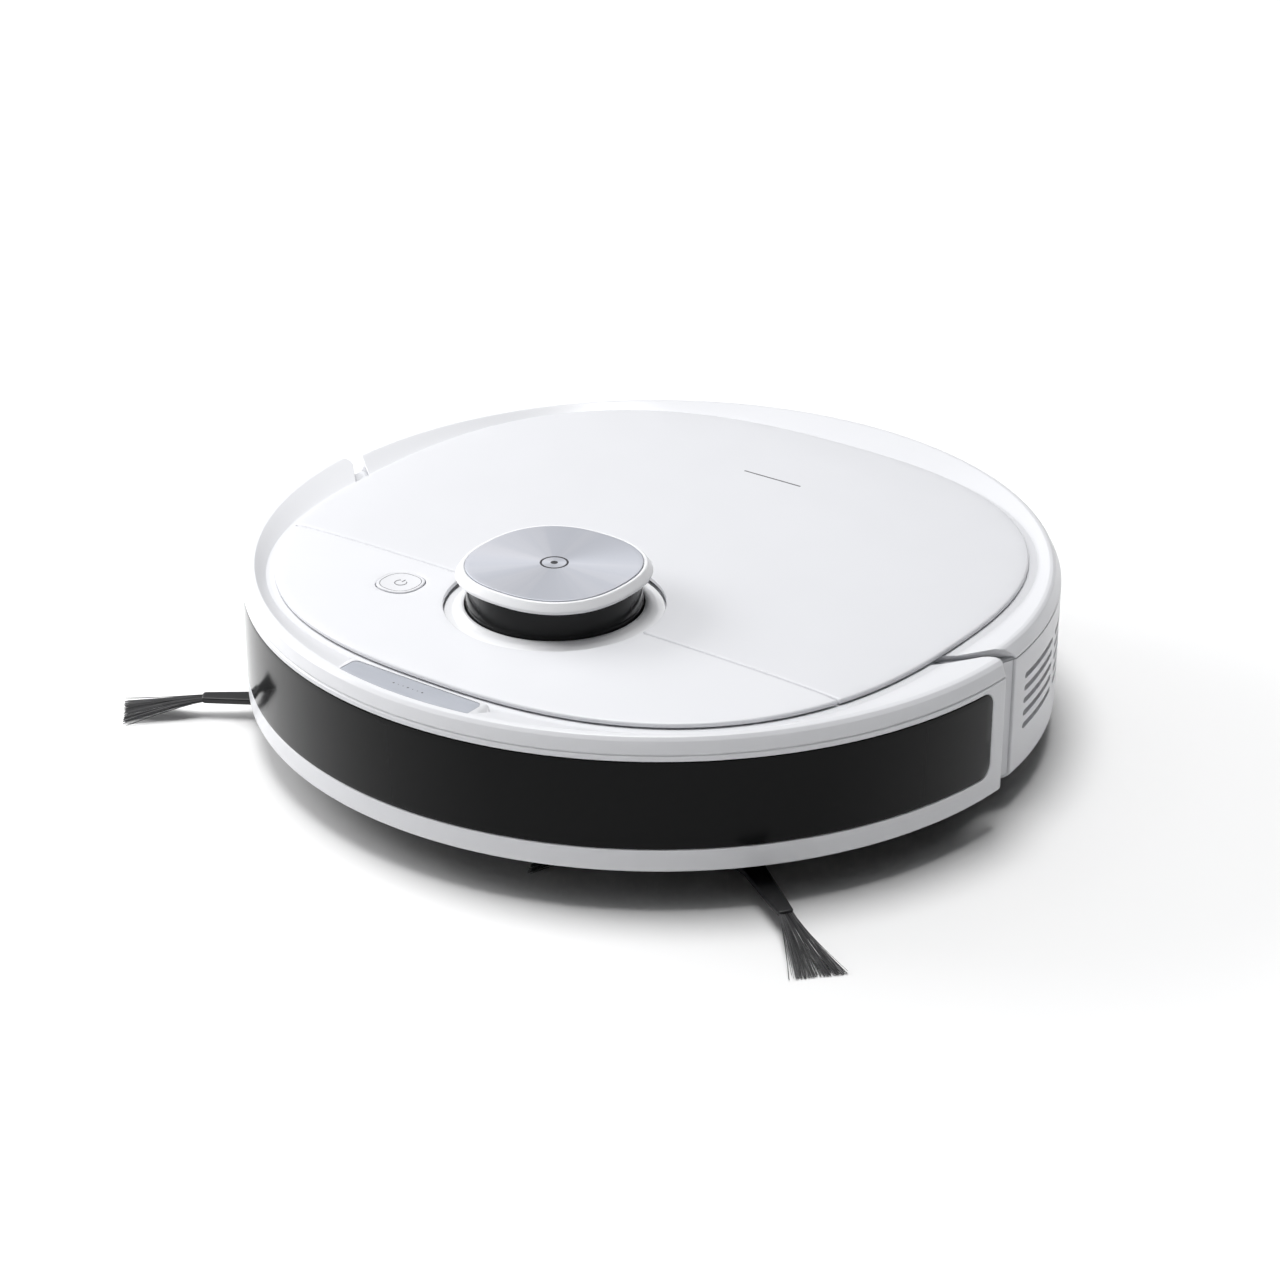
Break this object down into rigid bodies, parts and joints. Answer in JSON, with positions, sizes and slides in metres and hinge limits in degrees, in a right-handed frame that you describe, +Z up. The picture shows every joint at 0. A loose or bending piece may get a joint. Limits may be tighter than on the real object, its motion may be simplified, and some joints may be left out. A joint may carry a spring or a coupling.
{
  "type": "robotic floor cleaner",
  "caption": "Disc-shaped robot vacuum with a lidar turret, sliding bumper, hinged lid over a lift-out bin, side brushes, main brush and sprung wheels.",
  "frame": {"origin": "on the floor, under the middle of the outline; the centre of the round body is 2.5 mm further back, at Y = +2.5 mm", "axes": "+Z up, -Y towards the front bumper, +X towards the robot's own right as seen from the front with +Z up"},
  "size_m": [0.3758, 0.345, 0.0936],
  "materials": {
    "white_shell": "satin moulded white plastic with a very fine grain",
    "white_cover": "smooth white plastic, semi-gloss",
    "lid_white": "smooth white plastic, semi-gloss, slightly greyer than the cover",
    "black_gloss": "glossy near-black tinted plastic",
    "satin_label": "satin silver foil",
    "spun_plate": "spun metal with radial shine",
    "black_base": "matte black plastic with fine texture",
    "grey_plastic": "grey matte plastic",
    "smoke_plastic": "dark smoke plastic",
    "rubber_black": "soft black rubber",
    "tyre": "black rubber with tread blocks",
    "steel": "brushed steel",
    "contact": "bright plated contact",
    "battery_wrap": "blue heat-shrink film",
    "circuit_board": "green solder mask",
    "filter_paper": "pleated filter paper",
    "gear_nylon": "natural nylon",
    "bristle_grey": "grey nylon bristles",
    "arm_black": "flexible black arms"
  },
  "bodies": {
    "chassis": {"base_pan": "black_base", "rear_wall": "white_shell", "upper_housing": "white_shell", "front_cover": "white_cover", "turret_well": "white_cover", "turret_window": "black_gloss", "lds_base": "black_base", "main_board": "circuit_board", "battery_pack": "battery_wrap", "battery_cover": "black_base", "cover_screw_left": "steel", "cover_screw_right": "steel", "fan_housing": "black_base", "brush_frame": "smoke_plastic", "brush_guard": "grey_plastic", "gear_case": "black_base", "brush_motor": "steel", "side_motor_left": "steel", "side_motor_right": "steel", "charge_contact_left": "contact", "charge_contact_right": "contact", "cliff_window_left": "black_gloss", "cliff_window_right": "black_gloss", "wheel_spring_left": "steel", "wheel_spring_right": "steel"},
    "bumper": {"bumper_shell": "white_shell", "bumper_window": "black_gloss", "bumper_label": "satin_label"},
    "lid": {"lid": "lid_white", "hinge_pin_left": "steel", "hinge_pin_right": "steel"},
    "power_button": {"power_button": "white_cover"},
    "turret_cap": {"turret_cap": "white_cover", "cap_plate": "spun_plate"},
    "lidar_head": {"lds_rotor": "smoke_plastic"},
    "side_brush_left": {"side_brush_left": "arm_black", "bristles_left_1": "bristle_grey", "bristles_left_2": "bristle_grey", "bristles_left_3": "bristle_grey"},
    "side_brush_right": {"side_brush_right": "arm_black", "bristles_right_1": "bristle_grey", "bristles_right_2": "bristle_grey", "bristles_right_3": "bristle_grey"},
    "main_brush": {"brush_roller": "black_base", "brush_bristles": "rubber_black", "brush_gear": "gear_nylon"},
    "idler": {"idler_gear": "gear_nylon"},
    "pinion": {"motor_pinion": "steel"},
    "wheel_arm_left": {"swing_arm_left": "black_base"},
    "wheel_arm_right": {"swing_arm_right": "black_base"},
    "wheel_left": {"wheel_hub_left": "grey_plastic", "tyre_left": "tyre"},
    "wheel_right": {"wheel_hub_right": "grey_plastic", "tyre_right": "tyre"},
    "caster": {"caster_fork": "grey_plastic"},
    "caster_roller": {"caster_wheel": "rubber_black"},
    "dust_bin": {"dust_bin": "smoke_plastic", "bin_filter": "filter_paper"},
    "bin_handle": {"bin_handle": "grey_plastic"},
    "impeller": {"fan_impeller": "gear_nylon"}
  },
  "joints": [
    {"name": "bumper_slide", "type": "slide", "parent": "chassis", "child": "bumper", "axis": [0, 1, 0], "range_m": [0, 0.0035], "stiffness_N_per_m": 400, "springref_m": -0.001},
    {"name": "lid_hinge", "type": "hinge", "parent": "chassis", "child": "lid", "pos_m": [0, -0.0685, 0.0743], "axis": [1, 0, 0], "range_deg": [0, 75]},
    {"name": "bin_lift", "type": "slide", "parent": "chassis", "child": "dust_bin", "axis": [0, 0, 1], "range_m": [0, 0.04]},
    {"name": "bin_handle_fold", "type": "hinge", "parent": "dust_bin", "child": "bin_handle", "pos_m": [0, 0.0725, 0.064], "axis": [1, 0, 0], "range_deg": [0, 75]},
    {"name": "button_press", "type": "slide", "parent": "chassis", "child": "power_button", "axis": [0, 0, -1], "range_m": [0, 0.0008], "stiffness_N_per_m": 600, "springref_m": -0.0005},
    {"name": "cap_press", "type": "slide", "parent": "chassis", "child": "turret_cap", "axis": [0, 0, -1], "range_m": [0, 0.0008], "stiffness_N_per_m": 900, "springref_m": -0.0006},
    {"name": "lidar_spin", "type": "hinge", "parent": "chassis", "child": "lidar_head", "pos_m": [0, -0.0685, 0.07], "axis": [0, 0, 1], "continuous": true},
    {"name": "side_brush_left_spin", "type": "hinge", "parent": "chassis", "child": "side_brush_left", "pos_m": [-0.112, -0.0945, 0.008], "axis": [0, 0, 1], "continuous": true},
    {"name": "side_brush_right_spin", "type": "hinge", "parent": "chassis", "child": "side_brush_right", "pos_m": [0.112, -0.0945, 0.008], "axis": [0, 0, 1], "continuous": true},
    {"name": "brush_spin", "type": "hinge", "parent": "chassis", "child": "main_brush", "pos_m": [0, 0.0145, 0.022], "axis": [1, 0, 0], "continuous": true},
    {"name": "idler_spin", "type": "hinge", "parent": "chassis", "child": "idler", "pos_m": [-0.091, 0.03406, 0.02724], "axis": [1, 0, 0], "continuous": true},
    {"name": "pinion_spin", "type": "hinge", "parent": "chassis", "child": "pinion", "pos_m": [-0.091, 0.04976, 0.03145], "axis": [1, 0, 0], "continuous": true},
    {"name": "wheel_arm_left_drop", "type": "hinge", "parent": "chassis", "child": "wheel_arm_left", "pos_m": [-0.0995, -0.0355, 0.034], "axis": [-1, 0, 0], "range_deg": [0, 22], "stiffness_Nm_per_rad": 2, "springref_deg": 29.79, "deforming": ["bristles_left_2"]},
    {"name": "wheel_arm_right_drop", "type": "hinge", "parent": "chassis", "child": "wheel_arm_right", "pos_m": [0.0995, -0.0355, 0.034], "axis": [-1, 0, 0], "range_deg": [0, 22], "stiffness_Nm_per_rad": 2, "springref_deg": 29.79, "deforming": ["bristles_right_2"]},
    {"name": "wheel_left_spin", "type": "hinge", "parent": "wheel_arm_left", "child": "wheel_left", "pos_m": [-0.114, 0.0055, 0.032], "axis": [1, 0, 0], "continuous": true},
    {"name": "wheel_right_spin", "type": "hinge", "parent": "wheel_arm_right", "child": "wheel_right", "pos_m": [0.114, 0.0055, 0.032], "axis": [1, 0, 0], "continuous": true},
    {"name": "caster_swivel", "type": "hinge", "parent": "chassis", "child": "caster", "pos_m": [0, -0.1275, 0.03], "axis": [0, 0, 1], "continuous": true},
    {"name": "caster_roll", "type": "hinge", "parent": "caster", "child": "caster_roller", "pos_m": [0, -0.1215, 0.013], "axis": [1, 0, 0], "continuous": true},
    {"name": "fan_spin", "type": "hinge", "parent": "chassis", "child": "impeller", "pos_m": [0.108, 0.0745, 0.045], "axis": [0, 0, 1], "continuous": true}
  ],
  "couplings": [
    {"joint": "bin_lift", "follows": "lid_hinge", "m_per_rad": 0.03},
    {"joint": "bin_handle_fold", "follows": "lid_hinge", "ratio": 1},
    {"joint": "idler_spin", "follows": "brush_spin", "ratio": -0.66667},
    {"joint": "pinion_spin", "follows": "brush_spin", "ratio": 2}
  ]
}
